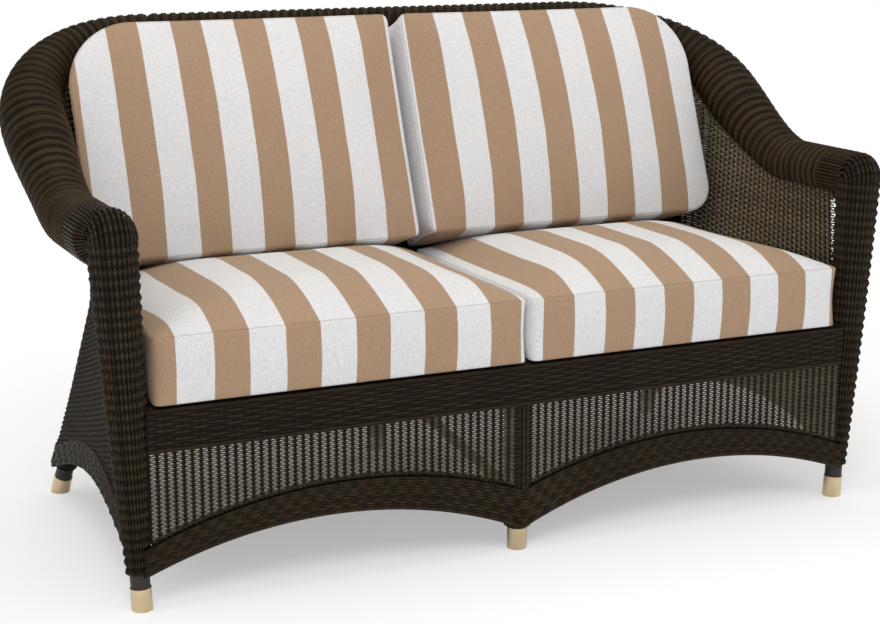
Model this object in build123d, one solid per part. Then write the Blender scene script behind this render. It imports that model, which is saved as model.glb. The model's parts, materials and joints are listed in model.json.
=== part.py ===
from build123d import *
import os
from math import cos, hypot, pi, sin, sqrt

# Patio loveseat: resin weave over a bent tube frame, with loose cushions.
# The front is -Y, left and right are as seen from the front, Z is up, sizes are millimetres.
# The origin is on the floor under the middle of the loveseat.
# Right-hand pieces are modelled, and left-hand ones are their mirror images.

# Overall size
overall_width = 1440.0
overall_depth = 690.0
seat_rail_height = 300.0
waist_over_rail = 100.0
arm_rise = 167.0
back_rise = 252.0

# Rolled top edge, from the front posts over the arms and round the back
arm_roll_radius = 45.0
shoulder_roll_radius = 54.0
back_roll_radius = 24.0
roll_corner_reach_x = 250.0
roll_corner_reach_y = 215.0
level_arm_length = 190.0
rise_skew_share = 0.82
shoulder_station_share = 0.32
roll_front_inset = 8.0
roll_fan_length = 72.0
rib_pitch = 17.0
rib_depth = 2.4
rib_shoulder_share = 0.25

# Plan of the woven body at the waist and at the floor, set in from the rolls' centre lines and from the back
waist_front_set_in = 24.0
waist_rear_set_in = 82.0
waist_back_set_in = 235.0
body_corner_reach = 85.0
floor_corner_reach = 50.0
rear_foot_side_set_in = 53.0
rear_foot_back_set_in = 88.0

# Tubes
leg_radius = 15.0
rail_radius = 12.5
tube_wall = 2.0
leg_bend_radius = 120.0
stretcher_radius = 9.0
stretcher_front_height = 90.0
stretcher_rear_height = 150.0

# Front legs and their wraps
front_foot_set_in = 33.0
post_shoulder_set_in = 9.0
post_shoulder_drop = 4.0
post_wrap_start = 60.0
post_foot_radius = 21.0
post_top_radius = 38.5
post_dome_height = 51.0
post_height_shares = (0.22, 0.58, 0.84)
post_radius_shares = (0.28, 0.66, 0.88)
leg_end_in_dome = 18.0
center_wrap_radius = 23.0
center_wrap_start = 40.0
rear_wrap_wall = 4.0
rear_wrap_start = 62.0

# Ferrules
ferrule_wall = 1.2
ferrule_height = 36.0
ferrule_floor = 3.0

# Weave
weave_thickness = 6.5
border_thickness = 11.0
border_height = 46.0
cord_radius = 4.5
front_band_height = 64.0
front_arch_apex_height = 113.0
front_arch_post_height = 56.0
front_arch_center_height = 40.0
front_arch_apex_share = 0.57
front_border_top_apex_height = 161.0
front_border_top_post_height = 98.0
front_border_top_center_height = 104.0
side_arch_apex_height = 130.0
side_arch_end_height = 64.0
back_arch_apex_height = 113.0
roll_seat_share = 0.82
stake_gap = 8.0
stake_width = 5.4
net_row_bar = 5.0
net_rows = 3
net_rim = 3.0
side_run_start_share = 0.02

# Seat webbing
strap_width = 50.0
strap_thickness = 2.2
strap_count = 9
strap_side_margin = 119.0

# Seat cushions
seat_cushion_side_gap = 6.0
seat_cushion_rear_gap = 9.25
cushion_middle_gap = 3.0
seat_cushion_overhang = 24.0
seat_cushion_border = 105.0
seat_cushion_crown = 40.0
seat_cushion_rear_radius = 80.0
seat_cushion_edge_radius = 16.0
seat_crown_front_share = 0.33
seat_crown_side_share = 0.25

# Back cushions
back_cushion_middle_gap = 12.0
back_cushion_side_lap = 10.25
back_cushion_top_drop = 2.0
left_back_cushion_shift = 7.0
back_cushion_border = 122.0
back_cushion_crown = 22.0
back_cushion_top_radius = 118.0
back_cushion_foot_radius = 50.0
back_cushion_edge_radius = 13.0
back_crown_reach_share = 0.2
back_cushion_sink = 1.0
back_cushion_taper = 105.0
back_cushion_foot_sag = 7.5
cushion_seam_inset = 4.0
cushion_draw_in = 5.0
cushion_roll_height = 16.0

# Clearances and overruns
seat_gap = 0.3
weave_joint_gap = 0.8
rail_stand_off = 5.0
cushion_gap = 1.5
back_cushion_gap = 8.0
overrun = 20.0
difference_step_share = 0.001

waist_height = seat_rail_height + waist_over_rail
arm_roll_height = waist_height + arm_rise
back_roll_height = arm_roll_height + back_rise
front_y = post_top_radius - overall_depth / 2
back_y = overall_depth / 2 - back_roll_radius
arm_x = overall_width / 2 - shoulder_roll_radius
roll_corner_y = back_y - roll_corner_reach_y
arm_run = roll_corner_y - front_y
corner_run = pi / 2 * sqrt((roll_corner_reach_x**2 + roll_corner_reach_y**2) / 2)
waist_front_x = arm_x - waist_front_set_in
waist_rear_x = arm_x - waist_rear_set_in
waist_back_y = front_y + overall_depth - waist_back_set_in
rear_foot_x = arm_x - rear_foot_side_set_in
rear_foot_y = front_y + overall_depth - rear_foot_back_set_in
front_foot_x = arm_x - front_foot_set_in
post_shoulder_x = arm_x - post_shoulder_set_in
foot_skin_offset = leg_radius + rear_wrap_wall
corner_share = 1 - sqrt(0.5)
skin_front_y = front_y - leg_radius - seat_gap - weave_thickness
seat_top = seat_rail_height + rail_radius


def blend(start, end, share):
    return start + (end - start) * share


def plan_point(front_x, rear_x, rear_y, reach_x, reach_y, station):
    """One side of a plan outline: stations 0 to 1 run back, 1 to 2 round the corner, 2 to 3 to the middle."""
    if station <= 1:
        return Vector(blend(front_x, rear_x, station), blend(front_y, rear_y - reach_y, station), 0)
    if station <= 2:
        angle = (station - 1) * pi / 2
        return Vector(rear_x - reach_x * (1 - cos(angle)), rear_y - reach_y * (1 - sin(angle)), 0)
    return Vector((rear_x - reach_x) * (3 - station), rear_y, 0)


def roll_plan(station):
    return plan_point(arm_x, arm_x, back_y, roll_corner_reach_x, roll_corner_reach_y, station)


def waist_plan(station):
    return plan_point(waist_front_x, waist_rear_x, waist_back_y, body_corner_reach, body_corner_reach, station)


def floor_plan(station):
    """Where the woven body would meet the floor, just outside the rear feet."""
    reach = floor_corner_reach
    out = foot_skin_offset * sqrt(0.5) + reach * corner_share
    return plan_point(waist_front_x, rear_foot_x + out, rear_foot_y + out, reach, reach, station)


def plan_normal(plan, station):
    """Outward horizontal normal of a plan outline."""
    step = plan(min(station + difference_step_share, 3)) - plan(max(station - difference_step_share, 0))
    return Vector(step.Y, -step.X, 0).normalized()


def roll_run(station):
    """Distance along the roll, from the front post."""
    if station <= 1:
        return arm_run * station
    return arm_run + corner_run * min(station - 1, 1)


def roll_center(station):
    """The roll's centre line: level over the arm, then an easy rise that ends at the back."""
    rise_length = arm_run + corner_run - level_arm_length
    share = max(roll_run(station) - level_arm_length, 0) / rise_length
    skewed = share**rise_skew_share
    height = blend(arm_roll_height, back_roll_height, skewed * skewed * (3 - 2 * skewed))
    return roll_plan(station) + Vector(0, 0, height)


def roll_radius(station):
    """The roll swells from the arm to the shoulder, then thins to the back."""
    share = roll_run(station) / (arm_run + corner_run)
    peak_share = arm_run / (arm_run + corner_run)
    if share < shoulder_station_share:
        return arm_roll_radius
    if share < peak_share:
        rise = (share - shoulder_station_share) / (peak_share - shoulder_station_share)
        return blend(arm_roll_radius, shoulder_roll_radius, rise * rise * (3 - 2 * rise))
    fall = (share - peak_share) / (1 - peak_share)
    return blend(shoulder_roll_radius, back_roll_radius, fall * fall * (3 - 2 * fall))


def roll_direction(station):
    ahead = roll_center(min(station + difference_step_share, 3))
    return (ahead - roll_center(max(station - difference_step_share, 0))).normalized()


def ring(center, direction, radius):
    """A circle square to a direction, with its start on the horizontal side."""
    across = Vector(direction.Y, -direction.X, 0).normalized()
    return Wire.make_circle(radius, Plane(origin=center, x_dir=across, z_dir=direction))


def stations_between(start, end, count):
    return [blend(start, end, step / count) for step in range(count + 1)]


def along_roll(radius_at, stations):
    """A round solid that follows the roll's centre line."""
    return Solid.make_loft([ring(roll_center(s), roll_direction(s), radius_at(s)) for s in stations], ruled=True)


def arm_stations(start):
    """Stations along one arm: one step while the arm is level, then close ones up its rise."""
    return [start] + stations_between(level_arm_length / arm_run, 1, 14)


def ribbed(start, end, run):
    """A wrapped stretch of roll, where each group of strands makes a rib with a groove before the next."""
    count = round(run / rib_pitch)
    rings = []
    for station in stations_between(start, end, count):
        rings.append(ring(roll_center(station), roll_direction(station), roll_radius(station) - rib_depth))
        for share in (rib_shoulder_share, 1 - rib_shoulder_share):
            crest = station + (end - start) / count * share
            if crest < end:
                rings.append(ring(roll_center(crest), roll_direction(crest), roll_radius(crest)))
    return rings


def rod(start, end, radius):
    axis = Vector(end) - Vector(start)
    placed = Plane(origin=start, z_dir=axis)
    return placed * Cylinder(radius, axis.length, align=(Align.CENTER, Align.CENTER, Align.MIN))


def pipe(start, end, radius):
    return rod(start, end, radius) - rod(start, end, radius - tube_wall)


def body_point(station, height):
    """A point of the woven body's middle surface, between the floor outline and the waist outline."""
    share = height / waist_height
    spot = blend(floor_plan(station), waist_plan(station), share)
    return Vector(spot.X, spot.Y, height)


def skin_top(station):
    """Top edge of the woven skin, tucked under the inner side of the roll."""
    center = roll_center(station)
    normal = plan_normal(roll_plan, station)
    radius = roll_radius(station)
    inset = radius * roll_seat_share
    slope = hypot(roll_direction(station).X, roll_direction(station).Y)
    drop = sqrt((radius + seat_gap) ** 2 - (inset - weave_thickness / 2) ** 2) / slope
    return center - normal * inset - Vector(0, 0, drop)


def skin_section(points, normal, thickness):
    """A closed outline across the skin, from its low point to its high point."""
    half = normal * (thickness / 2)
    low, high = points
    return Wire.make_polygon([low - half, high - half, high + half, low + half])


def mirrored(vector):
    return Vector(-vector.X, vector.Y, vector.Z)


def skin(stations, points_at, thickness, both_sides=False):
    """A woven skin lofted through its sections, on the right only or on to the left past the middle."""
    sections = [skin_section(points_at(s), plan_normal(waist_plan, s), thickness) for s in stations]
    if both_sides:
        for station in reversed(stations[:-1]):
            points = [mirrored(point) for point in points_at(station)]
            sections.append(skin_section(points, mirrored(plan_normal(waist_plan, station)), thickness))
    return Solid.make_loft(sections, ruled=True)


def side_arch_height(station):
    """Lower edge of the body: an arch along each side, and one each side of the middle of the back."""
    if station <= 1:
        return blend(side_arch_end_height, side_arch_apex_height, 4 * station * (1 - station))
    if station <= 2:
        return side_arch_end_height
    share = station - 2
    return blend(side_arch_end_height, back_arch_apex_height, 4 * share * (1 - share))


def border_points(station):
    low = side_arch_height(station)
    return [body_point(station, low), body_point(station, low + border_height)]


def skirt_points(station):
    low = side_arch_height(station) + border_height + weave_joint_gap
    return [body_point(station, low), body_point(station, waist_height - weave_joint_gap)]


def panel_points(station):
    return [body_point(station, waist_height), skin_top(station)]


def front_post_axis():
    foot = Vector(front_foot_x, front_y, 0)
    shoulder = Vector(post_shoulder_x, front_y, arm_roll_height - post_shoulder_drop)
    return foot, shoulder


def post_solid(extra):
    """The outer form of a front post wrap: a swelling column with a domed top, or a looser copy for cutting."""
    foot, shoulder = front_post_axis()
    low = post_wrap_start
    high = (shoulder - foot).length
    heights = [blend(low, high, share) for share in post_height_shares]
    radii = [blend(post_foot_radius, post_top_radius, share) for share in post_radius_shares]
    side_points = [(post_foot_radius + extra, low - extra)]
    side_points += [(radius + extra, height) for radius, height in zip(radii, heights)]
    side_points += [(post_top_radius + extra, high)]
    side = Spline(side_points, tangents=((0, 1), (0, 1)), tangent_scalars=(1, 1))
    peak = high + post_dome_height + extra
    dome_radius = ((post_top_radius + extra) ** 2 + (peak - high) ** 2) / (2 * (peak - high))
    dome_middle = (dome_radius * sqrt(0.5), peak - dome_radius * (1 - sqrt(0.5)))
    dome = ThreePointArc((post_top_radius + extra, high), dome_middle, (0, peak))
    axis_line = Line((0, peak), (0, low - extra))
    floor_line = Line((0, low - extra), side_points[0])
    profile = make_face([side, dome, axis_line, floor_line])
    column = revolve(Plane.XZ * profile, axis=Axis.Z)
    return Plane(origin=foot, z_dir=shoulder - foot, x_dir=(1, 0, 0)) * column


def front_leg_top():
    foot, shoulder = front_post_axis()
    return shoulder + (shoulder - foot).normalized() * leg_end_in_dome


def under_leg(foot, height):
    """The room under a leg's end, from a height over the floor downwards."""
    size = overrun * 4
    return Pos(foot.X, foot.Y, height) * Box(size, size, size, align=(Align.CENTER, Align.CENTER, Align.MAX))


def ferrule(foot, toward):
    """A brass cup on a leg's end, with a flat floor whatever the leg's rake."""
    axis = (Vector(toward) - Vector(foot)).normalized()
    buried = foot - axis * overrun
    cup = rod(buried, foot + axis * ferrule_height, leg_radius + ferrule_wall) - under_leg(foot, 0)
    socket = rod(buried, foot + axis * (ferrule_height + overrun), leg_radius + seat_gap / 2)
    return cup - (socket - under_leg(foot, ferrule_floor))


def leg_pipe(points):
    """A leg tube along a path, bent where the path turns, cut flat to stand on its ferrule's floor."""
    foot = points[0]
    start = foot - (points[1] - foot).normalized() * overrun
    if len(points) == 2:
        return pipe(start, points[1], leg_radius) - under_leg(foot, ferrule_floor)
    line = FilletPolyline(start, *points[1:], radius=leg_bend_radius)
    section = Plane(origin=start, z_dir=points[1] - start)
    outer = sweep(section * Circle(leg_radius), path=line)
    tube = outer - sweep(section * Circle(leg_radius - tube_wall), path=line)
    return tube - under_leg(foot, ferrule_floor)


def rear_leg_points():
    """Foot, waist and top of the right rear leg, which leans forward to the waist and back above it."""
    foot = Vector(rear_foot_x, rear_foot_y, 0)
    waist = body_point(1.5, waist_height)
    top = roll_center(1.5) - Vector(0, 0, rail_radius + leg_radius)
    return [foot, waist, top]


def rear_wrap_solid(extra):
    """The woven column round the right rear leg, or a looser copy for cutting."""
    foot, waist, top = rear_leg_points()
    start = foot + (waist - foot).normalized() * (rear_wrap_start - extra)
    line = FilletPolyline(start, waist, top, radius=leg_bend_radius)
    return sweep(Plane(origin=start, z_dir=waist - start) * Circle(leg_radius + rear_wrap_wall + extra), path=line)


def rear_leg_cutter():
    foot, waist, top = rear_leg_points()
    line = FilletPolyline(foot, waist, top, radius=leg_bend_radius)
    return sweep(Plane(origin=foot, z_dir=waist - foot) * Circle(leg_radius + seat_gap), path=line)


def rear_center_leg_points():
    """The straight leg under the middle of the rear seat rail."""
    foot = Vector(0, rear_foot_y, 0)
    rail = rail_center(3)
    return [foot, rail - Vector(0, 0, rail_radius + seat_gap)]


def rail_center(station):
    """Seat rail's centre line, just inside the woven body."""
    inward = weave_thickness / 2 + rail_stand_off + rail_radius
    return body_point(station, seat_rail_height) - plan_normal(waist_plan, station) * inward


def rail_along(stations, radius, both_sides=False):
    """A seat rail along the body, on the right only or on to the left past the middle."""
    rings = []
    for station in stations:
        normal = plan_normal(waist_plan, station)
        rings.append(ring(rail_center(station), Vector(-normal.Y, normal.X, 0), radius))
    if both_sides:
        for station in reversed(stations[:-1]):
            normal = plan_normal(waist_plan, station)
            rings.append(ring(mirrored(rail_center(station)), Vector(-normal.Y, -normal.X, 0), radius))
    return Solid.make_loft(rings, ruled=True)


def front_arch(post_z, apex_z, center_z, raised=0):
    """One bay's arch line in the plane of the apron, from the centre leg to the post, raised square to itself."""
    ends = [(0, center_z), (front_foot_x * front_arch_apex_share, apex_z), (front_foot_x, post_z)]
    center = ThreePointArc(*ends).arc_center
    outward = [(Vector(end) - center).normalized() * raised for end in ends]
    return ThreePointArc(*[Vector(end) + step for end, step in zip(ends, outward)])


def bay_face(low_arch, high_line):
    """The area of a bay between a lower arch and an upper line."""
    rise = Line(low_arch @ 1, high_line @ 1)
    fall = Line(high_line @ 0, low_arch @ 0)
    return make_face([low_arch, rise, high_line, fall])


def apron_plane():
    """Plane of the apron's front face, with its first axis to the right and its second up."""
    return Plane(origin=(0, skin_front_y, 0), x_dir=(1, 0, 0), z_dir=(0, -1, 0))


def apron_piece(face, thickness):
    return extrude(apron_plane() * face, amount=-thickness)


def cushion_outline(width, rear_width, depth, insets, radii):
    """Plan of a cushion with rounded corners, drawn in by one inset at each side: front, outer, rear, inner."""
    front, outer, rear, inner = insets
    corners = (
        (inner, front),
        (width - outer, front),
        (rear_width - outer, depth - rear),
        (inner, depth - rear),
    )
    return FilletPolyline(*corners, radius=radii, close=True)


def cushion(width, rear_width, depth, border, crown, radii, crown_reach, plane, taper=0, sag=0):
    """A boxed cushion: flat underside, seams at the edges, sides drawn in between them and a crowned face.

    A taper cuts the underside's outer edge back, where the cushion sits in a rounded corner.
    A sag lets the face hang below the underside, on to the crown of the cushion that it stands on.
    """
    seam = cushion_seam_inset
    drawn = cushion_draw_in
    roll = cushion_roll_height
    levels = [
        (0, (seam * 3,) * 4),
        (roll / 2, (seam / 2,) * 4),
        (roll, (0,) * 4),
        (blend(roll, border / 2, 0.5), (drawn / 2,) * 4),
        (border / 2, (drawn,) * 4),
        (border - roll, (seam / 2,) * 4),
        (border - roll / 4, (0,) * 4),
        (border, (seam,) * 4),
    ]
    crown_height_shares = (0.34, 0.64, 0.86, 1)
    crown_inset_shares = (0.16, 0.42, 0.74, 1)
    for rise_share, inset_share in zip(crown_height_shares, crown_inset_shares):
        insets = tuple(seam + reach * inset_share for reach in crown_reach)
        levels.append((border + crown * rise_share, insets))
    wires = []
    for height, insets in levels:
        cut_back = max(1 - height / taper, 0) ** 2 * taper if taper else 0
        insets = (insets[0] - sag * (height / border) ** 2, insets[1] + cut_back, insets[2], insets[3])
        outline = cushion_outline(width, rear_width, depth, insets, radii)
        wires.append(Wire(outline.edges()).moved(plane.location * Pos(0, 0, height)))
    return Solid.make_loft(wires, ruled=True)


pieces = {}


def add_pair(name, solid):
    """A right-hand piece and its mirror image."""
    pieces[name + "_right"] = solid
    pieces[name + "_left"] = mirror(solid, about=Plane.YZ)


# Rolls and the tube inside them
corner_stations = stations_between(1, 2, 24)
post_cutter = post_solid(seat_gap)
rear_wrap_cutter = rear_wrap_solid(seat_gap)
leg_cutter = rear_leg_cutter()


def top_tube_half(extra):
    """The right half of the tube in the rolls, or a looser copy for cutting."""
    start = (leg_radius + seat_gap) / arm_run
    arm = along_roll(lambda s: rail_radius + extra, arm_stations(start))
    corner = along_roll(lambda s: rail_radius + extra, corner_stations)
    return arm, corner


bore_arm, bore_corner = top_tube_half(seat_gap)
tube_arm, tube_corner = top_tube_half(0)
hollow_arm, hollow_corner = top_tube_half(-tube_wall)
fan_end = roll_fan_length / arm_run
fan_stations = (roll_front_inset / arm_run, fan_end - rib_depth / arm_run)
fan_rings = [ring(roll_center(s), roll_direction(s), arm_roll_radius) for s in fan_stations]
arm_form = Solid.make_loft(fan_rings + ribbed(fan_end, 1, arm_run - roll_fan_length), ruled=True)
arm_roll = arm_form - post_cutter - bore_arm
corner_form = Solid.make_loft(ribbed(1, 2, corner_run), ruled=True)
corner_roll = corner_form - bore_corner - leg_cutter
add_pair("arm_roll", arm_roll)
add_pair("corner_roll", corner_roll)
back_end = roll_center(2)
back_start = Vector(-back_end.X, back_end.Y, back_end.Z)
roll_joint = Vector(seat_gap, 0, 0)
back_roll = rod(back_start + roll_joint, back_end - roll_joint, back_roll_radius)
pieces["back_roll"] = back_roll - rod(back_start, back_end, rail_radius + seat_gap)
tube_half = (tube_arm - hollow_arm) + (tube_corner - hollow_corner)
pieces["top_tube"] = tube_half + mirror(tube_half, about=Plane.YZ) + pipe(back_start, back_end, rail_radius)

# Front legs, their wraps and ferrules
foot, shoulder = front_post_axis()
leg_top = front_leg_top()
socket_start = Vector(arm_x, front_y, arm_roll_height)
tube_cutter = rod(socket_start, socket_start + Vector(0, post_top_radius * 2, 0), rail_radius + seat_gap)
add_pair("front_leg", leg_pipe([foot, leg_top]))
leg_hole = rod(foot, leg_top, leg_radius + seat_gap)
add_pair("front_post_wrap", post_solid(0) - leg_hole - tube_cutter)
add_pair("front_ferrule", ferrule(foot, shoulder))

center_foot = Vector(0, front_y, 0)
center_top = Vector(0, front_y, seat_rail_height - rail_radius - seat_gap)
pieces["center_front_leg"] = leg_pipe([center_foot, center_top])
pieces["center_front_ferrule"] = ferrule(center_foot, center_top)
band_bottom = seat_top - front_band_height
wrap_low = Vector(0, front_y, center_wrap_start)
wrap_high = Vector(0, front_y, band_bottom - seat_gap)
center_hole = rod(wrap_low, wrap_high, leg_radius + seat_gap)
pieces["center_leg_wrap"] = rod(wrap_low, wrap_high, center_wrap_radius) - center_hole
center_cutter = rod(wrap_low - Vector(0, 0, overrun), wrap_high, center_wrap_radius + seat_gap)

# Rear legs, their wraps and ferrules
rear_points = rear_leg_points()
rear_leg = leg_pipe(rear_points)
add_pair("rear_leg", rear_leg)
corner_outer = along_roll(lambda s: roll_radius(s) + seat_gap, corner_stations)
add_pair("rear_post_wrap", rear_wrap_solid(0) - leg_cutter - corner_outer)
add_pair("rear_ferrule", ferrule(rear_points[0], rear_points[1]))
center_rear_points = rear_center_leg_points()
rear_rail_cutter = rail_along([2, 3], rail_radius + seat_gap, True)
pieces["center_rear_leg"] = leg_pipe(center_rear_points) - rear_rail_cutter
pieces["center_rear_ferrule"] = ferrule(center_rear_points[0], center_rear_points[1])

# Seat rails
rail_start = Vector(-front_foot_x, front_y, seat_rail_height)
rail_end = Vector(front_foot_x, front_y, seat_rail_height)
front_rail = pipe(rail_start, rail_end, rail_radius) - post_cutter - mirror(post_cutter, about=Plane.YZ)
pieces["seat_rail_front"] = front_rail
front_rail_cutter = rod(rail_start, rail_end, rail_radius + seat_gap)
side_stations = stations_between(0, 1.5, 12)
side_rail = rail_along(side_stations, rail_radius) - rail_along(side_stations, rail_radius - tube_wall)
add_pair("seat_rail_side", side_rail - front_rail_cutter - post_cutter - rear_wrap_cutter)
rear_stations = stations_between(1.5, 3, 12)
rear_rail = rail_along(rear_stations, rail_radius, True) - rail_along(rear_stations, rail_radius - tube_wall, True)
pieces["seat_rail_rear"] = rear_rail - rear_wrap_cutter - mirror(rear_wrap_cutter, about=Plane.YZ)
middle_start = Vector(0, front_y + rail_radius + seat_gap, seat_rail_height)
middle_end = rail_center(3) - Vector(0, rail_radius + seat_gap, 0)
pieces["seat_rail_middle"] = pipe(middle_start, middle_end, rail_radius)

# Centre stretcher, from the front centre leg to the rear one
rear_axis = center_rear_points[1] - center_rear_points[0]
stretcher_rear = center_rear_points[0] + rear_axis * (stretcher_rear_height / rear_axis.Z)
stretcher = rod(Vector(0, front_y, stretcher_front_height), stretcher_rear, stretcher_radius)
stretcher -= rod(center_foot, center_top, center_wrap_radius + seat_gap)
stretcher -= rod(center_rear_points[0], center_rear_points[1], leg_radius + seat_gap)
pieces["center_stretcher"] = stretcher

# Front apron
low_arch = front_arch(front_arch_post_height, front_arch_apex_height, front_arch_center_height)
border_top = (front_border_top_post_height, front_border_top_apex_height, front_border_top_center_height)
high_arch = front_arch(*border_top)
border = apron_piece(bay_face(low_arch, high_arch), border_thickness) - post_cutter - center_cutter
border -= leg_hole
add_pair("front_arch_border", border)
band_face = Pos(0, blend(band_bottom, seat_top, 0.5)) * Rectangle(front_foot_x * 2, front_band_height)
front_band = apron_piece(band_face, weave_thickness) - post_cutter - mirror(post_cutter, about=Plane.YZ)
pieces["front_band"] = front_band

cord_line = Pos(0, 0, -border_thickness / 2) * front_arch(*border_top, cord_radius + seat_gap)
cord_path = apron_plane() * cord_line
cord = sweep(Plane(origin=cord_path @ 0, z_dir=cord_path % 0) * Circle(cord_radius), path=cord_path)
add_pair("front_arch_cord", cord - post_cutter - center_cutter)

net_arch = front_arch(*border_top, (cord_radius + seat_gap) * 2)
net_top = Line((0, band_bottom - seat_gap), (front_foot_x, band_bottom - seat_gap))
net = apron_piece(bay_face(net_arch, net_top), weave_thickness)


def arch_height_at(arch, x):
    """Height of a bay's arch line above the floor at a distance from the middle."""
    center = arch.arc_center
    return center.Y + sqrt(arch.radius**2 - (x - center.X) ** 2)


def net_holes():
    """Upright gaps between the stakes, in rows parted by bars."""
    pitch = stake_gap + stake_width
    first = center_wrap_radius + net_rim + stake_gap
    last = front_foot_x - post_foot_radius - net_rim * 2
    count = int((last - first) / pitch)
    holes = []
    for column in range(count):
        x = first + pitch * column
        low = arch_height_at(net_arch, x) + net_rim * 2
        high = band_bottom - net_rim
        row_height = (high - low - net_row_bar * (net_rows - 1)) / net_rows
        for row in range(net_rows):
            z = low + row * (row_height + net_row_bar) + row_height / 2
            holes.append(Pos(x, z) * Rectangle(stake_gap, row_height))
    return holes


net_cut = extrude(apron_plane() * Sketch(net_holes()), amount=-weave_thickness * 2, both=True)
net = net - net_cut - post_cutter - center_cutter
add_pair("front_open_panel", net)

# Side and back weave
side_run = stations_between(side_run_start_share, 1.5, 12)
corner_run_back = stations_between(1.5, 3, 12)
for name, points_at, thickness in (
    ("border", border_points, border_thickness),
    ("skirt", skirt_points, weave_thickness),
):
    side = skin(side_run, points_at, thickness) - post_cutter - rear_wrap_cutter
    add_pair("side_" + name, side)
    back = skin(corner_run_back, points_at, thickness) - rear_wrap_cutter
    add_pair("back_" + name, back)
arm_outer = along_roll(lambda s: roll_radius(s) + seat_gap, arm_stations(0))
arm_panel = skin(side_run, panel_points, weave_thickness) - post_cutter - rear_wrap_cutter
arm_panel = arm_panel - arm_outer - corner_outer
add_pair("arm_panel", arm_panel)
back_panel = skin(corner_run_back, panel_points, weave_thickness, True)
back_panel -= rod(back_start, back_end, back_roll_radius + seat_gap)
for cutter in (rear_wrap_cutter, corner_outer):
    back_panel = back_panel - cutter - mirror(cutter, about=Plane.YZ)
pieces["back_panel"] = back_panel

# Seat webbing, laid on the front and rear rails
strap_back = rail_center(3).Y
strap_outer_x = waist_rear_x - strap_side_margin
straps = []
for index in range(strap_count):
    x = blend(-strap_outer_x, strap_outer_x, index / (strap_count - 1))
    strap = Box(strap_width, strap_back - front_y, strap_thickness, align=(Align.CENTER, Align.MIN, Align.MIN))
    straps.append(Pos(x, front_y, seat_top + seat_gap) * strap)
pieces["seat_webbing"] = Compound(straps)

# Cushions
cushion_inner_x = cushion_middle_gap / 2
seat_cushion_width = post_shoulder_x - post_top_radius - seat_cushion_side_gap - cushion_inner_x
seat_cushion_rear_width = waist_rear_x - weave_thickness / 2 - seat_cushion_rear_gap - cushion_inner_x
seat_bottom = seat_top + strap_thickness + seat_gap * 3
seat_depth = waist_back_y - weave_thickness - cushion_gap * 3 - front_y + seat_cushion_overhang
seat_plane = Plane(origin=(cushion_inner_x, front_y - seat_cushion_overhang, seat_bottom))
seat_radii = (
    seat_cushion_edge_radius,
    seat_cushion_edge_radius,
    seat_cushion_rear_radius,
    seat_cushion_edge_radius,
)
side_reach = seat_cushion_width * seat_crown_side_share
seat_reach = (seat_cushion_width * seat_crown_front_share, side_reach, side_reach, side_reach)
seat_cushion = cushion(
    seat_cushion_width,
    seat_cushion_rear_width,
    seat_depth,
    seat_cushion_border,
    seat_cushion_crown,
    seat_radii,
    seat_reach,
    seat_plane,
)
add_pair("seat_cushion", seat_cushion)

# Back cushions stand on the seat cushions and lean on the back panel
lean_low = Vector(0, body_point(3, waist_height).Y, waist_height)
lean_high = skin_top(3)
lean = (lean_high - lean_low).normalized()
forward = Vector(0, -lean.Z, lean.Y)
back_face = lean_low + forward * (weave_thickness / 2 + back_cushion_gap)
rest_height = seat_bottom + seat_cushion_border - back_cushion_sink
back_foot = back_face + lean * ((rest_height - back_face.Z) / lean.Z)
back_inner_x = back_cushion_middle_gap / 2
back_plane = Plane(origin=(back_inner_x, back_foot.Y, back_foot.Z), x_dir=(1, 0, 0), z_dir=forward)
back_cushion_width = waist_rear_x - weave_thickness / 2 + back_cushion_side_lap - back_inner_x
back_cushion_height = (lean_high.Z - back_foot.Z) / lean.Z - back_cushion_top_drop
back_radii = (
    back_cushion_edge_radius,
    back_cushion_foot_radius,
    back_cushion_top_radius,
    back_cushion_edge_radius,
)
back_reach = (back_cushion_width * back_crown_reach_share,) * 4
back_cushion = cushion(
    back_cushion_width,
    back_cushion_width,
    back_cushion_height,
    back_cushion_border,
    back_cushion_crown,
    back_radii,
    back_reach,
    back_plane,
    back_cushion_taper,
    back_cushion_foot_sag,
)
add_pair("back_cushion", back_cushion)
pieces["back_cushion_left"] = Pos(-left_back_cushion_shift, 0, 0) * pieces["back_cushion_left"]

os.makedirs("parts", exist_ok=True)
for name, solid in pieces.items():
    export_step(solid, "parts/" + name + ".step")
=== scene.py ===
import json
from math import cos, hypot, pi, radians, sin, sqrt

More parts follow.
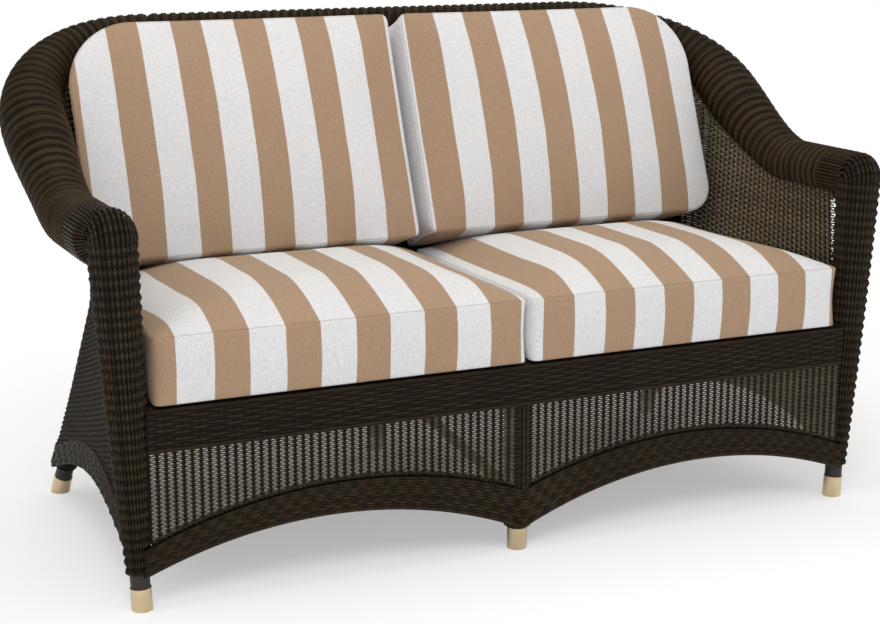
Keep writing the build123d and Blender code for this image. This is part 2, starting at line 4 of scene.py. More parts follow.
import bpy
import numpy as np
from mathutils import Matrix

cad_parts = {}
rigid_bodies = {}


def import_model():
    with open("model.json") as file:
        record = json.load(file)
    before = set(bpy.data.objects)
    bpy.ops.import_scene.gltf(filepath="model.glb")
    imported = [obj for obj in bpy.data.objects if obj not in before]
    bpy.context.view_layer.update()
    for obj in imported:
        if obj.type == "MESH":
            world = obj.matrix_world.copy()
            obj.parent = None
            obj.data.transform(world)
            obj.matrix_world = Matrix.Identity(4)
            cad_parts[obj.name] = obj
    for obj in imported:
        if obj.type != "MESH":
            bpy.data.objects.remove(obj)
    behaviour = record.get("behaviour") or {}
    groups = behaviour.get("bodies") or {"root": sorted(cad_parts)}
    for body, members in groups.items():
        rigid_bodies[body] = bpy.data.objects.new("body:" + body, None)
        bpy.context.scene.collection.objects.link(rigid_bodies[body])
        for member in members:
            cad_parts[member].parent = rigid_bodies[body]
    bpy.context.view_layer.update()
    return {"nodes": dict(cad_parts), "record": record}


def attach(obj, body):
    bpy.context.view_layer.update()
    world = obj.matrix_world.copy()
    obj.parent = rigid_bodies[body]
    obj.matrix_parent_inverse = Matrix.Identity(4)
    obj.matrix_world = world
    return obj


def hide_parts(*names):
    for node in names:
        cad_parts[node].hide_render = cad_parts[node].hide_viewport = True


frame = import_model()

nodes = frame["nodes"]


# Studio: a white floor that fades to a white surround, a camera at standing height to the left, and soft lamps.
# The floor keeps the loveseat's soft shadow and is plain white to the camera further out.
def select_none():
    for every in bpy.data.objects:
        every.select_set(False)


def put_node(tree, kind, settings, sockets, output=0):
    """Adds a shader node, sets it up, then fills its sockets with values or links."""
    made = tree.nodes.new(kind)
    for key, value in settings.items():
        setattr(made, key, value)
    for key, value in sockets.items():
        if isinstance(value, Flow):
            tree.links.new(value.socket, made.inputs[key])
        else:
            made.inputs[key].default_value = value
    return Flow(tree, made.outputs[output])


class Flow:
    """A value on its way through a material, so that shader maths reads as plain sums."""

    def __init__(self, tree, socket):
        self.tree = tree
        self.socket = socket

    def maths(self, operation, other=0.0, turned=False):
        first, second = (other, self) if turned else (self, other)
        return put_node(self.tree, "ShaderNodeMath", {"operation": operation}, {0: first, 1: second})

    def __add__(self, other):
        return self.maths("ADD", other)

    def __sub__(self, other):
        return self.maths("SUBTRACT", other)

    def __rsub__(self, other):
        return self.maths("SUBTRACT", other, True)

    def __mul__(self, other):
        return self.maths("MULTIPLY", other)

    def __truediv__(self, other):
        return self.maths("DIVIDE", other)

    def clamped(self, low, high):
        return self.maths("MAXIMUM", low).maths("MINIMUM", high)

    def part(self, name):
        return put_node(self.tree, "ShaderNodeSeparateXYZ", {}, {0: self}, name)


def object_place(tree):
    return put_node(tree, "ShaderNodeTexCoord", {}, {}, "Object")


def point(tree, x, y, z):
    return put_node(tree, "ShaderNodeCombineXYZ", {}, {0: x, 1: y, 2: z})


def noise(tree, vector, scale, detail):
    return put_node(tree, "ShaderNodeTexNoise", {}, {"Vector": vector, "Scale": scale, "Detail": detail})


def bump(tree, strength, distance, height):
    return put_node(tree, "ShaderNodeBump", {}, {"Strength": strength, "Distance": distance, "Height": height})


def mix_colors(tree, factor, first, second, blend_type="MIX"):
    settings = {"data_type": "RGBA", "blend_type": blend_type}
    return put_node(tree, "ShaderNodeMix", settings, {0: factor, 6: first, 7: second}, 2)


def new_material(name):
    material = bpy.data.materials.new(name)
    material.use_nodes = True
    material.node_tree.nodes.clear()
    return material, material.node_tree


def set_output(tree, shader, kind="Material"):
    out = tree.nodes.new("ShaderNodeOutput" + kind)
    tree.links.new(shader.socket, out.inputs["Surface"])


def set_surface(tree, look):
    set_output(tree, put_node(tree, "ShaderNodeBsdfPrincipled", {}, look))


select_none()
floor_side = 60.0
floor_shift = 12.0
bpy.ops.mesh.primitive_grid_add(x_subdivisions=24, y_subdivisions=24, size=floor_side, location=(0, floor_shift, 0))
floor = bpy.context.object
floor.name = "studio_floor"

shadow_x = 0.25
shadow_width, shadow_depth = 1.9, 1.3
fade_start, fade_length = 0.55, 0.75
# Near the seat the floor glows to the camera at this share, a painted light that lightens the loveseat's shadow there.
near_glow = 0.38
floor_paint, tree = new_material("studio white")
where = object_place(tree)
across = where.part("X") - shadow_x
along = where.part("Y") + floor_shift
reach = ((across * across) / shadow_width + (along * along) / shadow_depth).maths("SQRT")
fade = ((reach - fade_start) / fade_length).clamped(0.0, 1.0)
seen = put_node(tree, "ShaderNodeLightPath", {}, {}, "Is Camera Ray")
paint = put_node(tree, "ShaderNodeBsdfDiffuse", {}, {"Color": (0.93, 0.93, 0.93, 1), "Roughness": 0.5})
glow = put_node(tree, "ShaderNodeEmission", {}, {"Color": (1, 1, 1, 1), "Strength": 1.0})
lift = fade * (1 - near_glow) + near_glow
set_output(tree, put_node(tree, "ShaderNodeMixShader", {}, {0: lift * seen, 1: paint, 2: glow}))
floor.data.materials.append(floor_paint)

air_light, camera_air, mirror_air = 0.76, 0.24, 0.46
world = bpy.data.worlds.new("studio air")
bpy.context.scene.world = world
world.use_nodes = True
world.node_tree.nodes.clear()
tree = world.node_tree
direct = put_node(tree, "ShaderNodeLightPath", {}, {}, "Is Camera Ray")
mirror_ray = put_node(tree, "ShaderNodeLightPath", {}, {}, "Is Glossy Ray")
air_strength = direct * camera_air - mirror_ray * mirror_air + air_light
air = put_node(tree, "ShaderNodeBackground", {}, {"Color": (1, 1, 1, 1), "Strength": air_strength})
set_output(tree, air, "World")

day_tint = (0.94, 0.97, 1.0)
warm_tint = (1.0, 0.93, 0.74)
for name, place, angles, size, power, tint in (
    ("key lamp", (-1.5, -3.4, 3.6), (45, 0, -24), 1.7, 62, day_tint),
    ("fill lamp", (3.0, -2.6, 2.0), (60, 0, 50), 2.4, 16, day_tint),
    ("top lamp", (0.0, 0.6, 3.6), (0, 0, 0), 3.0, 34, warm_tint),
):
    bpy.ops.object.light_add(type="AREA", location=place, rotation=[radians(angle) for angle in angles])
    lamp = bpy.context.object
    lamp.name = name
    lamp.data.size = size
    lamp.data.energy = power
    lamp.data.color = tint

camera_place = (-1.315, -2.8275, 1.054)
camera_tilt, camera_heading = 13.03, -25
sensor_width, focal_pixels, picture_pixels = 36, 1825, 880
bpy.ops.object.camera_add(location=camera_place, rotation=(radians(90 - camera_tilt), 0, radians(camera_heading)))
camera = bpy.context.object
camera.data.lens = sensor_width * focal_pixels / picture_pixels
camera.data.clip_end = 100
bpy.context.scene.camera = camera
bpy.context.scene.view_settings.view_transform = "Standard"
select_none()


# Woven resin: strands of extruded plastic, dark espresso brown, flattened oval and faintly grooved along their length.
# Each strand is laid as its own run, so that it passes over and under the stakes as it does on a hand-woven chair.
def resin_finish(name, dark, light, ior=1.22):
    """Resin strands, each with its own random tint, with painted shade along their edges and where they dip behind a
    stake.
    """
    tint_part, streak_part, patch_part, darkening = 0.42, 0.45, 0.50, 0.26
    edge_darkening = 0.72
    three_grooves = 18.85
    shadow = (0.0030, 0.0018, 0.0009, 1)
    material, tree = new_material(name)
    strand_map = put_node(tree, "ShaderNodeUVMap", {"uv_map": "strand"}, {})
    run_place = strand_map.part("X")
    count_place = strand_map.part("Y")
    strand_number = count_place.maths("FLOOR")
    strand_width = count_place - strand_number
    strand_tint = put_node(tree, "ShaderNodeTexWhiteNoise", {"noise_dimensions": "1D"}, {"W": strand_number}, "Value")
    streaks = noise(tree, point(tree, run_place * 55.0, strand_width * 5.0, strand_number * 3.7), 1.0, 3.0)
    patches = noise(tree, object_place(tree), 9.0, 2.0)
    # Painted shade: the raised attribute and the darker strand edges mix the colour towards the near-black shadow
    # colour.
    raised = put_node(tree, "ShaderNodeAttribute", {"attribute_name": "raised"}, {}, "Fac")
    off_middle = (strand_width - 0.5).maths("ABSOLUTE") * 2.0
    edge_shade = 1.0 - off_middle.maths("POWER", 3.0) * edge_darkening
    light_part = strand_tint * tint_part + streaks * streak_part + patches * patch_part - darkening
    strand_color = mix_colors(tree, light_part.clamped(0.0, 1.0), dark, light)
    groove = (strand_width * three_grooves).maths("COSINE") * 0.25 + streaks * 0.5
    look = {
        "Base Color": mix_colors(tree, edge_shade * raised, shadow, strand_color),
        "Roughness": streaks * 0.20 + 0.32,
        "Normal": bump(tree, 0.35, 0.0006, groove),
        "IOR": ior,
    }
    set_surface(tree, look)
    return material


espresso = (0.013, 0.0079, 0.0032, 1)
resin = resin_finish("woven resin strand", espresso, (0.072, 0.046, 0.022, 1))
# The body's strand is a slightly darker copy of the resin, painted shade for the skirts and back, and reflects less
# for its lower IOR.
skin_resin = resin_finish("woven resin strand of the body", espresso, (0.066, 0.042, 0.020, 1), 1.10)
# The arm panels' strand is painted lighter, standing for the light that comes through the panels.
painted_backlight_panel_resin = resin_finish("woven resin strand of the arm panels", (0.086, 0.064, 0.037, 1), (0.305, 0.238, 0.150, 1))
# The apron nets' strand is painted lighter, standing for the light seen through the open bays.
painted_backlight_apron_resin = resin_finish("woven resin strand of the open apron", (0.090, 0.070, 0.046, 1), (0.330, 0.270, 0.185, 1))

# The core sheet behind the strands is painted near-black: painted shade in the gaps of the weave.
painted_shade_core, tree = new_material("shaded resin core")
core_noise = noise(tree, object_place(tree), 220.0, 2.0)
look = {
    "Base Color": mix_colors(tree, core_noise, (0.0035, 0.0022, 0.0012, 1), (0.010, 0.007, 0.004, 1)),
    "Roughness": core_noise * 0.2 + 0.6,
    "Normal": bump(tree, 0.5, 0.0008, core_noise),
    "Specular IOR Level": 0.2,
}
set_surface(tree, look)

flat_section = ((-0.5, -0.45), (-0.36, 0.22), (0.0, 0.5), (0.36, 0.22), (0.5, -0.45))
low_section = ((-0.5, -0.45), (0.0, 0.5), (0.5, -0.45))
round_section = tuple((0.5 * sin(2 * pi * k / 6), 0.5 * cos(2 * pi * k / 6)) for k in range(6))
tiny = 1e-9


def unit(vectors):
    return vectors / np.maximum(np.linalg.norm(vectors, axis=-1, keepdims=True), tiny)


def circle(count):
    return np.linspace(0, 2 * pi, count, endpoint=False)


def spots(x, y, z):
    return np.stack(np.broadcast_arrays(x, y, z), -1)


def mesh_object(verts, faces, material, strand_uv=None, raised=None):
    """A mesh object at the origin from arrays of points and four-sided faces."""
    mesh = bpy.data.meshes.new("woven")
    mesh.vertices.add(len(verts))
    mesh.vertices.foreach_set("co", verts.astype(np.float32).ravel())
    mesh.loops.add(faces.size)
    mesh.loops.foreach_set("vertex_index", faces.astype(np.int32).ravel())
    mesh.polygons.add(len(faces))
    mesh.polygons.foreach_set("loop_start", np.arange(0, faces.size, faces.shape[1], dtype=np.int32))
    mesh.polygons.foreach_set("use_smooth", np.ones(len(faces), dtype=bool))
    if strand_uv is not None:
        layer = mesh.uv_layers.new(name="strand")
        layer.data.foreach_set("uv", strand_uv.astype(np.float32).ravel())
        # The raised attribute carries the painted shade of each strand.
        height = mesh.attributes.new("raised", "FLOAT", "POINT")
        height.data.foreach_set("value", raised.astype(np.float32).ravel())
    mesh.update(calc_edges=True)
    mesh.validate()
    mesh.materials.append(material)
    made = bpy.data.objects.new("woven", mesh)
    bpy.context.scene.collection.objects.link(made)
    return made


def lay_strands(path, facing, wide, thick, closed=False, section=flat_section, raised=1.0, finish=resin):
    """Strands along rows of points, each with its outer side facing outwards, as one mesh.

    Raised is painted shade: 1 where a strand stands proud and 0 where it dips into the shade of its neighbours, where
    it is painted near-black.
    """
    if closed:
        ahead = unit(np.roll(path, -1, 1) - np.roll(path, 1, 1))
    else:
        ahead = unit(np.gradient(path, axis=1))
    facing = np.broadcast_to(facing, path.shape)
    side = unit(np.cross(ahead, facing))
    outward = np.cross(side, ahead)
    rows, steps, _ = path.shape
    ring = len(section)
    spans = ring if section is round_section else ring - 1
    wide = np.broadcast_to(wide, (rows, steps))
    across = np.array([s[0] for s in section])
    rise = np.array([s[1] for s in section])
    points = path[:, :, None, :] + side[:, :, None, :] * (wide[:, :, None] * across)[..., None]
    points = points + outward[:, :, None, :] * (thick * rise)[None, None, :, None]
    row, step, spot = np.indices((rows, steps if closed else steps - 1, spans))
    next_step = (step + 1) % steps
    next_spot = (spot + 1) % ring

    def index(a, b):
        return (row * steps + a) * ring + b

    corners = [index(step, spot), index(step, next_spot), index(next_step, next_spot), index(next_step, spot)]
    faces = np.stack(corners, -1)
    hop = np.linalg.norm(np.diff(path, axis=1, append=path[:, :1]), axis=2)
    length = np.cumsum(hop, axis=1) - hop
    margin = 0.02
    uv = np.empty(faces.shape + (2,))
    for corner, (a, b) in enumerate(((0, 0), (0, 1), (1, 1), (1, 0))):
        uv[..., corner, 0] = length[row, step] + a * hop[row, step]
        uv[..., corner, 1] = row + margin + (1 - 2 * margin) * (spot + b) / spans
    raised = np.repeat(np.broadcast_to(raised, (rows, steps))[..., None], ring, axis=2)
    return mesh_object(points.reshape(-1, 3), faces.reshape(-1, 4), finish, uv.reshape(-1, 2), raised)


def lay_sheet(points, closed=False):
    """The core behind the strands, painted near-black as shade in the gaps, as one sheet through rows of points."""
    rows, steps, _ = points.shape
    row, step = np.indices((rows - 1, steps if closed else steps - 1))
    ahead = (step + 1) % steps
    corners = [row * steps + step, row * steps + ahead, (row + 1) * steps + ahead, (row + 1) * steps + step]
    return mesh_object(points.reshape(-1, 3), np.stack(corners, -1).reshape(-1, 4), painted_shade_core)


def joined(name, parts, replaced, body="frame"):
    """Joins meshes into one named piece that rides on a body and stands for CAD nodes."""
    select_none()
    for part in parts:
        part.select_set(True)
    piece = parts[0]
    bpy.context.view_layer.objects.active = piece
    if len(parts) > 1:
        bpy.ops.object.join()
    piece.name = name
    piece.data.name = name
    piece.select_set(False)
    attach(piece, body)
    if replaced:
        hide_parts(*replaced)


def flipped(array):
    return array * np.array([-1.0, 1.0, 1.0])


sides = (("right", lambda array: array), ("left", flipped))


def woven_pairs(*pieces):
    """Pieces on the right, then mirrored on the left, each of one or more lots of strands."""
    for side_name, turn in sides:
        for name, node, lots in pieces:
            parts = [lay_strands(turn(path), turn(facing), *look) for path, facing, *look in lots]
            joined(name + side_name, parts, [node + side_name] if node else [])


# Front post wraps: columns woven round the front legs, upright strands over hoops, that swell to a domed top.
# Each strand runs up the front, folds over the dome and comes down the back, so the dome has no gathered crown.
hoop_pitch = 0.0155
# Painted shade of the hoops, which lie under the upright strands.
hoop_painted_shade = 0.35
strand_step = 0.0039
strand_thick = 0.0026
front_y = -0.3065
post_low = 0.060
post_foot = np.array([0.633, front_y, 0.0])
post_way = np.array([0.657, front_y, 0.563]) - post_foot
post_length = float(np.linalg.norm(post_way))
post_up = post_way / post_length
post_axes = np.stack([np.array([post_up[2], 0.0, -post_up[0]]), np.array([0.0, 1.0, 0.0]), post_up])
post_loops = 15
post_top_radius = 0.0385
swell = np.polyfit([post_low, 0.171, 0.352, 0.483, 0.5635], [0.0210, 0.0259, 0.03255, 0.0364, post_top_radius], 4)


def hoop_wave(length):
    """1 over a hoop and -1 midway between two."""
    return np.cos(2 * pi * length / hoop_pitch)


# Painted shade of the post's strands: dark between the hoops, where they dip, and light over them.
def post_painted_shade(length):
    return 0.12 + 0.88 * (0.5 + 0.5 * hoop_wave(length)) ** 1.2


def column_points(radius, height, angle, center_y=0.0):
    """Points round an upright column."""
    return spots(radius * np.cos(angle), center_y + radius * np.sin(angle), height)


def post_strand(loop, heights, radius):
    """One strand over the post: its path, outward direction, width and painted shade."""
    sunk, hoop_lift, sway = 0.0028, 0.0017, 0.0003
    dome_radius = post_top_radius - 0.0012
    dome_height = 0.0500
    angle = pi * (loop + 0.5) / post_loops
    swaying = sway * (-1) ** loop * np.cos(pi * heights / hoop_pitch)
    reach = radius - sunk + hoop_lift * hoop_wave(heights) + swaying
    front = np.stack([reach * cos(angle), -reach * sin(angle), heights], 1)
    arc = np.linspace(0, pi, 24)[1:-1]
    dome_x = np.full(arc.shape, dome_radius * cos(angle))
    dome_y = -dome_radius * sin(angle) * np.cos(arc)
    dome_z = post_length + dome_height * sin(angle) ** 0.9 * np.sin(arc)
    local = np.concatenate([front, np.stack([dome_x, dome_y, dome_z], 1), front[::-1] * np.array([1.0, -1.0, 1.0])])
    on_dome = slice(len(front), len(front) + len(arc))
    out = local * np.array([1.0, 1.0, 0.0])
    out[on_dome, 2] = 0.9 * (dome_z - post_length)
    pitch = pi * np.concatenate([radius, np.full(len(arc), post_top_radius), radius[::-1]]) / post_loops
    squeeze = np.ones(len(local))
    squeeze[on_dome] = 0.55 + 0.45 * np.abs(np.cos(arc)) ** 0.5 if sin(angle) < 0.5 else 0.9
    over_dome = post_length + (radius[-1] + 0.005) * arc
    painted_shade = np.concatenate([post_painted_shade(heights), post_painted_shade(over_dome), post_painted_shade(heights)[::-1]])
    return post_foot + local @ post_axes, unit(out) @ post_axes, 0.70 * pitch * squeeze, painted_shade


heights = np.arange(post_low, post_length, strand_step)
loops = [post_strand(loop, heights, np.polyval(swell, heights)) for loop in range(post_loops)]
path, facing, wide, painted_shade = (np.array(part) for part in zip(*loops))

around = circle(48)
hoop_heights = np.arange(post_low + 0.002, post_length + 0.002, hoop_pitch)[:, None]
hoop_radius = np.polyval(swell, hoop_heights) - 0.0030
hoops = post_foot + column_points(hoop_radius, hoop_heights, around) @ post_axes
hoops_out = column_points(1, 0 * hoop_heights, around) @ post_axes

core_depth = 0.0046
core_heights = np.linspace(post_low, post_length, 20)
core_radius = np.append(np.polyval(swell, core_heights), 0.0380 * np.cos(np.linspace(0.2, pi / 2 - 0.02, 10)))
core_radius = core_radius - np.append(np.full(20, core_depth), np.linspace(core_depth, 0.0, 10))
core_heights = np.append(core_heights, post_length + 0.046 * np.sin(np.linspace(0.2, pi / 2, 10)))
core = post_foot + column_points(core_radius[:, None], core_heights[:, None], around) @ post_axes

for side_name, turn in sides:
    strands = lay_strands(turn(path), turn(facing), wide, strand_thick, raised=painted_shade)
    rings = lay_strands(turn(hoops), turn(hoops_out), 0.0046, 0.0022, True, raised=hoop_painted_shade)
    column_core = lay_sheet(turn(core), True)
    joined("woven_front_post_" + side_name, [strands, rings, column_core], ["front_post_wrap_" + side_name])


# Rolls: a padded core over the bent top tube, wrapped round and round with strands in groups of four.
# Behind each post the wrap starts as a fan of strands that folds over the arm's blunt end.
arm_x, arm_z = 0.666, 0.567
back_y, rail_z = 0.321, 0.819
corner_x, corner_y = 0.250, 0.215
arm_run = back_y - corner_y - front_y
corner_run = pi / 2 * sqrt((corner_x**2 + corner_y**2) / 2)
level_run = 0.190
arm_radius, shoulder_swell, back_thinning = 0.045, 0.009, 0.030
wrap_thick = 0.0030


def plan_spot(station, front_x, rear_x, rear_y, reach_x, reach_y):
    """Plan of an outline: 0 to 1 back along the side, 1 to 2 round the corner, 2 to 3 to the middle of the back."""
    station = np.asarray(station, float)
    corner_turn = np.clip(station - 1, 0, 1) * pi / 2
    side_x = front_x + (rear_x - front_x) * station
    side_y = front_y + (rear_y - reach_y - front_y) * station
    x = np.where(station <= 1, side_x, rear_x - reach_x * (1 - np.cos(corner_turn)))
    x = np.where(station > 2, (rear_x - reach_x) * (3 - station), x)
    y = np.where(station <= 1, side_y, rear_y - reach_y * (1 - np.sin(corner_turn)))
    return x, y


def smooth_step(share):
    return share * share * (3 - 2 * share)


def roll_run(station):
    """Length of roll up to a station, which stops at the end of the corner."""
    return arm_run * np.minimum(station, 1) + corner_run * np.clip(np.asarray(station, float) - 1, 0, 1)


def roll_center(station):
    x, y = plan_spot(station, arm_x, arm_x, back_y, corner_x, corner_y)
    share = np.clip((roll_run(station) - level_run) / (arm_run + corner_run - level_run), 0, 1) ** 0.82
    return np.stack([x, y, arm_z + (rail_z - arm_z) * smooth_step(share)], -1)


def roll_radius(station):
    share = roll_run(station) / (arm_run + corner_run)
    swell_start = 0.32
    peak = arm_run / (arm_run + corner_run)
    rise = smooth_step(np.clip((share - swell_start) / (peak - swell_start), 0, 1))
    fall = smooth_step(np.clip((share - peak) / (1 - peak), 0, 1))
    return arm_radius + shoulder_swell * rise - back_thinning * fall


def roll_frame(station):
    """Centre, outward and upward directions of the roll."""
    station = np.asarray(station, float)
    near = 0.002
    ahead = unit(roll_center(np.minimum(station + near, 3)) - roll_center(np.maximum(station - near, 0)))
    outward = unit(np.stack([ahead[..., 1], -ahead[..., 0], np.zeros(ahead.shape[:-1])], -1))
    return roll_center(station), outward, np.cross(outward, ahead)


def even_stations(start, end, step, spot_at, samples):
    """Stations an equal length apart along a line, and their distance from its start."""
    fine = np.linspace(start, end, samples)
    length = np.append(0, np.cumsum(np.linalg.norm(np.diff(spot_at(fine), axis=0), axis=1)))
    even = np.linspace(0, length[-1], int(round(length[-1] / step)) + 1)
    return np.interp(even, length, fine), even


def hoop_points(stations, lift, count, slant=0.0):
    """Rings round the roll, or slanted ones."""
    around = circle(count)
    center, outward, upward = roll_frame(stations)
    facing = np.cos(around)[None, :, None] * outward[:, None, :] + np.sin(around)[None, :, None] * upward[:, None, :]
    reach = roll_radius(stations) + lift
    path = center[:, None, :] + facing * reach[:, None, None]
    ahead = np.cross(upward, outward)
    return path + ahead[:, None, :] * (slant * np.cos(around - 0.6))[None, :, None], facing


def group_rise(count):
    """How far the strands of each group of four stand up, the middle two the most."""
    return np.sin(pi * ((np.arange(count) % 4) + 0.5) / 4)


def group_painted_shade(rise, low):
    """Painted shade of strands in groups of four, from low for the outer two, painted darker in the grooves, to 1 for
    the middle two.
    """
    least, spread = 0.38, 0.54
    return low + (1 - low) * ((rise - least) / spread)[:, None]


def wrapped_roll(part, side_name, turn, start, end, run, ring, ends=()):
    """A stretch of roll wrapped in groups of four hoops, a rib each, over a core painted near-black as shade."""
    group_pitch = 0.017
    hoop_sunk, hoop_lift, core_sunk = 0.0044, 0.0031, 0.0058
    count = 4 * round(run / group_pitch)
    edges = np.linspace(start, end, count + 1)
    pitch = np.linalg.norm(np.diff(roll_center(edges), axis=0), axis=1)
    rise = group_rise(count)
    path, facing = hoop_points((edges[1:] + edges[:-1]) / 2, hoop_lift * rise - hoop_sunk, ring, 0.0014)
    wide = 0.96 * pitch[:, None]
    strands = lay_strands(turn(path), turn(facing), wide, wrap_thick, True, raised=group_painted_shade(rise, 0.42))
    core_path, _ = hoop_points(even_stations(start, end, 0.012, roll_center, 800)[0], -core_sunk, ring)
    core = lay_sheet(turn(core_path), True)
    joined("woven_" + part + "_roll_" + side_name, [strands, core, *ends], [part + "_roll_" + side_name])


fan_count = 46
fan_start, fan_depth, fan_length = 0.005, 0.017, 0.058
fan_inner, fan_outer = 0.024, 0.0435
fan_run = 0.072
fold = np.linspace(0, pi / 2, 7)
straight = np.linspace(0, fan_length, 16)[1:]
back = np.append(fan_start + fan_depth * (1 - np.cos(fold)), fan_start + fan_depth + straight)
reach = np.append(fan_inner + (fan_outer - fan_inner) * np.sin(fold), np.full(len(straight), fan_outer))
reach[-4:] -= np.linspace(0.0, 0.0018, 4)
reach = reach + 0.0006 * hoop_wave(back)
out_part = np.append(np.sin(fold), np.ones(len(straight)))
front_part = np.append(-np.cos(fold), np.zeros(len(straight)))
around = circle(fan_count)
spokes = np.stack([np.cos(around), np.zeros(fan_count), np.sin(around)], -1)[:, None]
rearward = np.array([0, 1, 0])
fan = np.array([arm_x, front_y, arm_z]) + spokes * reach[:, None] + rearward * back[:, None]
fan_out = spokes * out_part[:, None] + rearward * front_part[:, None]
from_axis = np.linalg.norm((fan - np.array([arm_x, 0, arm_z])) * [1, 0, 1], axis=2)
fan_width = 0.82 * 2 * pi * from_axis / fan_count
# Painted shade on the fan: darker between the hoops.
fan_painted_shade = 0.45 + 0.55 * hoop_wave(back) ** 2
blunt_end = np.swapaxes(fan - fan_out * 0.0022, 0, 1)

for side_name, turn in sides:
    fold_over = lay_strands(turn(fan), turn(fan_out), fan_width, strand_thick, raised=fan_painted_shade)
    ends = (fold_over, lay_sheet(turn(blunt_end), True))
    wrapped_roll("arm", side_name, turn, fan_run / arm_run, 1, arm_run - fan_run, 44, ends)
    wrapped_roll("corner", side_name, turn, 1, 2, corner_run, 40)

# The back rail is bound with broader slanted groups, which give its top edge a scalloped line.
rail_half = 0.414
rail_radius = 0.0225
rail_sunk, rail_lift, rail_slant = 0.0030, 0.0034, 0.007
rail_x = np.arange(-rail_half, rail_half + 0.0005, 0.0043)
rail_rise = group_rise(len(rail_x))
around = circle(30)
rail_facing = np.stack([np.zeros(30), np.cos(around), np.sin(around)], -1)
rail_middle = np.array([0, back_y, rail_z])
sideways = np.array([1.0, 0, 0])
rail_path = rail_middle + rail_facing[None] * (rail_radius - rail_sunk + rail_lift * rail_rise)[:, None, None]
rail_path = rail_path + sideways * (rail_x[:, None] + rail_slant * np.sin(around)[None, :])[..., None]
# Painted shade on the rail: the outer strands of each group painted darker.
rail_painted_shade = group_painted_shade(rail_rise, 0.35)
rail_strands = lay_strands(rail_path, rail_facing[None], 0.0044, wrap_thick, True, raised=rail_painted_shade)
rail_core_x = np.linspace(-rail_half - 0.0015, rail_half + 0.0015, 60)
rail_core = rail_middle + rail_facing[None] * 0.0188 + sideways * rail_core_x[:, None, None]
joined("woven_back_roll", [rail_strands, lay_sheet(rail_core, True)], ["back_roll"])


# Body weave: rows of fine strands over upright stakes, from the arched lower borders to the rolls.
# The skin leans in from the floor to the waist behind the seat, then out again up to the rolls.
waist_z = 0.4
floor_plan = (0.642, 0.64108, 0.32358, 0.050, 0.050)
waist_plan = (0.642, 0.584, 0.1485, 0.085, 0.085)
foot_z, side_arch, back_arch = 0.064, 0.066, 0.049
border_height = 0.046
stake_pitch = 0.0135
row_step = 0.0048
skin_lift, skin_swing = 0.0030, 0.0014
skin_wide = 0.0046


def body_spot(station, height):
    """A point of the lower skin, between the floor and the waist."""
    floor_x, floor_y = plan_spot(station, *floor_plan)
    waist_x, waist_y = plan_spot(station, *waist_plan)
    share = np.asarray(height, float) / waist_z
    return np.stack([floor_x + (waist_x - floor_x) * share, floor_y + (waist_y - floor_y) * share, height], -1)


def skin_top(station):
    """Where the upper skin meets the underside of the roll."""
    half_skin, into_roll = 0.00325, 0.0003
    center, outward, upward = roll_frame(station)
    radius = roll_radius(station)
    inset = radius * 0.82
    drop = np.sqrt((radius + into_roll) ** 2 - (inset - half_skin) ** 2) / np.abs(upward[..., 2])
    return center - outward * inset[..., None] - np.stack([drop * 0, drop * 0, drop], -1)


def panel_spot(station, height):
    """A point of the upper skin, between the waist and the roll."""
    low = body_spot(station, np.full(np.shape(station), waist_z))
    high = skin_top(station)
    share = (height - waist_z) / np.maximum(high[..., 2] - waist_z, 1e-4)
    return low + (high - low) * share[..., None]


def arch_low(station):
    """Height of the lower edge: an arch along the side, level round the corner, and an arch along the back."""
    share = np.clip(station - 2, 0, 1)
    along_side = foot_z + 4 * station * (1 - station) * side_arch
    along_back = foot_z + 4 * share * (1 - share) * back_arch
    return np.where(station <= 1, along_side, np.where(station <= 2, foot_z, along_back))


def under_roll(station):
    return skin_top(station)[..., 2] - 0.001


def waist_stations(start, end):
    """Stations half a stake apart along the waist, and their distance from the start."""
    return even_stations(start, end, stake_pitch / 2, lambda s: body_spot(s, np.full(s.shape, 0.3)), 1200)


def skin_facing(spot, station, height):
    """Outward direction of a skin."""
    along = spot(np.minimum(station + 0.01, 3), height) - spot(np.maximum(station - 0.01, 0), height)
    up = spot(station, height + 0.004) - spot(station, height - 0.004)
    return unit(np.cross(along, up))


def over_under(distance, row_count, pitch=stake_pitch, group=1):
    """1 where a row passes over a stake and -1 where it passes under, with rows in groups that go alike."""
    return np.cos(pi * distance[None, :] / pitch + pi * (np.arange(row_count)[:, None] // group))


def between_stakes(distance, power):
    """0 at a stake and 1 midway between two."""
    return (0.5 - 0.5 * np.cos(2 * pi * distance / stake_pitch)) ** power


def woven_rows(spot, stations, distance, heights, low, high, lift, swing, inside=False):
    """Rows across a skin that pass over and under the stakes, kept between its lower and upper edges."""
    station, height = np.meshgrid(stations, heights)
    facing = skin_facing(spot, station, (low + high)[None, :] / 2 * np.ones(height.shape))
    if inside:
        facing = -facing
    height = np.clip(height, low[None, :], high[None, :])
    wave = over_under(distance, len(heights))
    # Painted shade: rows dark at the stakes and lighter midway, a little lighter where they pass over a stake.
    between = between_stakes(distance, 0.7)[None, :]
    painted_shade = np.clip(0.10 + 0.80 * between + 0.12 * wave * (1 - between), 0, 1)
    return spot(station, height) + facing * (lift + swing * wave)[..., None], facing, painted_shade


skirts = (("side", 0.05, 1.5), ("back", 1.5, 3))
for part, start, end in skirts:
    stations, distance = waist_stations(start, end)
    low = arch_low(stations) + border_height - 0.003
    high = np.full(stations.shape, waist_z)
    heights = np.arange(low.min() + row_step / 2, waist_z, row_step)
    path, facing, painted_shade = woven_rows(body_spot, stations, distance, heights, low, high, skin_lift, skin_swing)
    rows = (path, facing, skin_wide, strand_thick, False, flat_section, painted_shade, skin_resin)
    woven_pairs(("woven_" + part + "_skirt_", None, [rows]))


